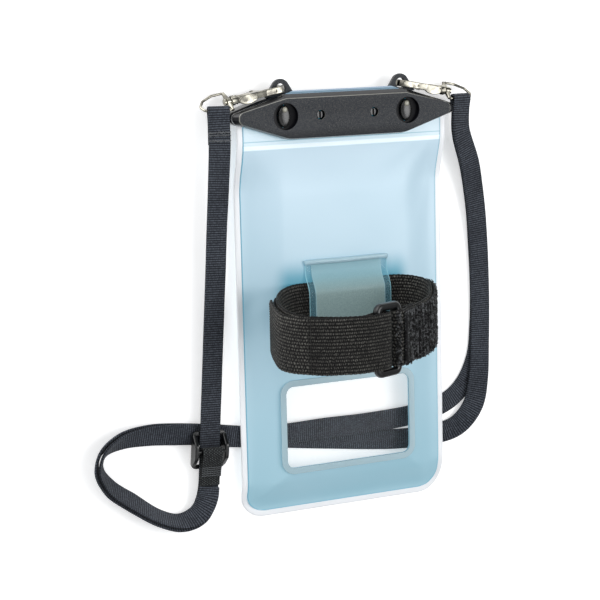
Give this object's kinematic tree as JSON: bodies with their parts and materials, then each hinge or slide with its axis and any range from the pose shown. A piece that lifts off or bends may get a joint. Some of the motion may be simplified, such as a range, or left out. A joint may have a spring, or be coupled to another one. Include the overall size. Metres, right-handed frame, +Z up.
{
  "type": "waterproof phone case",
  "caption": "Soft welded film pouch for a phone, closed by a twist-lock clamp, with a camera window, an elastic armband and a neck lanyard on snap hooks.",
  "frame": {"origin": "on the surface that the case lies on, under the middle of the case without its lanyard", "axes": "+X to the right seen from above, +Y along the case towards the clamp, +Z up, out of the case's back with the armband"},
  "size_m": [0.204, 0.2014, 0.069],
  "materials": {
    "blue_film": "frosted soft film",
    "clear_film": "clear soft film",
    "dark_plastic": "fine-grained",
    "black_plastic": "satin",
    "black_web": "satin weave",
    "black_elastic": "ribbed elastic",
    "nickel": "bright nickel plate",
    "grey_foam": "soft foam"
  },
  "bodies": {
    "case": {"front_sheet": "clear_film", "back_sheet": "blue_film", "window_film": "clear_film", "clamp_front_bar": "dark_plastic", "belt_loop": "blue_film", "armband_elastic": "black_elastic", "armband_loop_pile": "black_elastic", "armband_hook_tape": "black_elastic", "armband_buckle": "black_plastic", "lanyard_ring_left": "nickel", "lanyard_ring_right": "nickel", "lanyard_outer": "black_web", "lanyard_inner": "black_web"},
    "back_bar": {"clamp_back_bar": "dark_plastic", "clamp_seal": "grey_foam"},
    "left_lock": {"twist_lock_left": "dark_plastic"},
    "right_lock": {"twist_lock_right": "dark_plastic"},
    "left_hook": {"hook_left": "nickel", "gate_pin_left": "nickel", "gate_spring_left": "nickel", "swivel_stud_left": "nickel"},
    "left_gate": {"gate_left": "nickel"},
    "right_hook": {"hook_right": "nickel", "gate_pin_right": "nickel", "gate_spring_right": "nickel", "swivel_stud_right": "nickel"},
    "right_gate": {"gate_right": "nickel"},
    "slider": {"lanyard_slider": "black_plastic", "lanyard_sewn_end": "black_web"}
  },
  "joints": [
    {"name": "clamp_open", "type": "slide", "parent": "case", "child": "back_bar", "axis": [0, 0, 1], "range_m": [0, 0.008]},
    {"name": "left_lock_turn", "type": "hinge", "parent": "case", "child": "left_lock", "pos_m": [-0.0305, 0.0843, 0.006], "axis": [0, 0, 1], "range_deg": [0, 90]},
    {"name": "right_lock_turn", "type": "hinge", "parent": "case", "child": "right_lock", "pos_m": [0.0305, 0.0843, 0.006], "axis": [0, 0, 1], "range_deg": [0, 90]},
    {"name": "left_hook_swivel", "type": "hinge", "parent": "case", "child": "left_hook", "pos_m": [-0.03, 0.0963, 0.0069], "axis": [-0.9833, -0.1822, 0], "range_deg": [-8, 2]},
    {"name": "right_hook_swivel", "type": "hinge", "parent": "case", "child": "right_hook", "pos_m": [0.03, 0.0963, 0.0069], "axis": [0.9833, -0.1822, 0], "range_deg": [-2, 8]},
    {"name": "left_gate_press", "type": "hinge", "parent": "left_hook", "child": "left_gate", "pos_m": [-0.042, 0.09408, 0.0036], "axis": [0.1822, -0.9833, 0], "range_deg": [0, 12], "stiffness_Nm_per_rad": 0.02, "springref_deg": -8.59, "deforming": ["gate_spring_left"]},
    {"name": "right_gate_press", "type": "hinge", "parent": "right_hook", "child": "right_gate", "pos_m": [0.042, 0.09408, 0.0036], "axis": [0.1822, 0.9833, 0], "range_deg": [0, 12], "stiffness_Nm_per_rad": 0.02, "springref_deg": -8.59, "deforming": ["gate_spring_right"]},
    {"name": "slider_slide", "type": "slide", "parent": "case", "child": "slider", "axis": [0.0552, 0.9978, 0.0359], "range_m": [0, 0.09]}
  ]
}
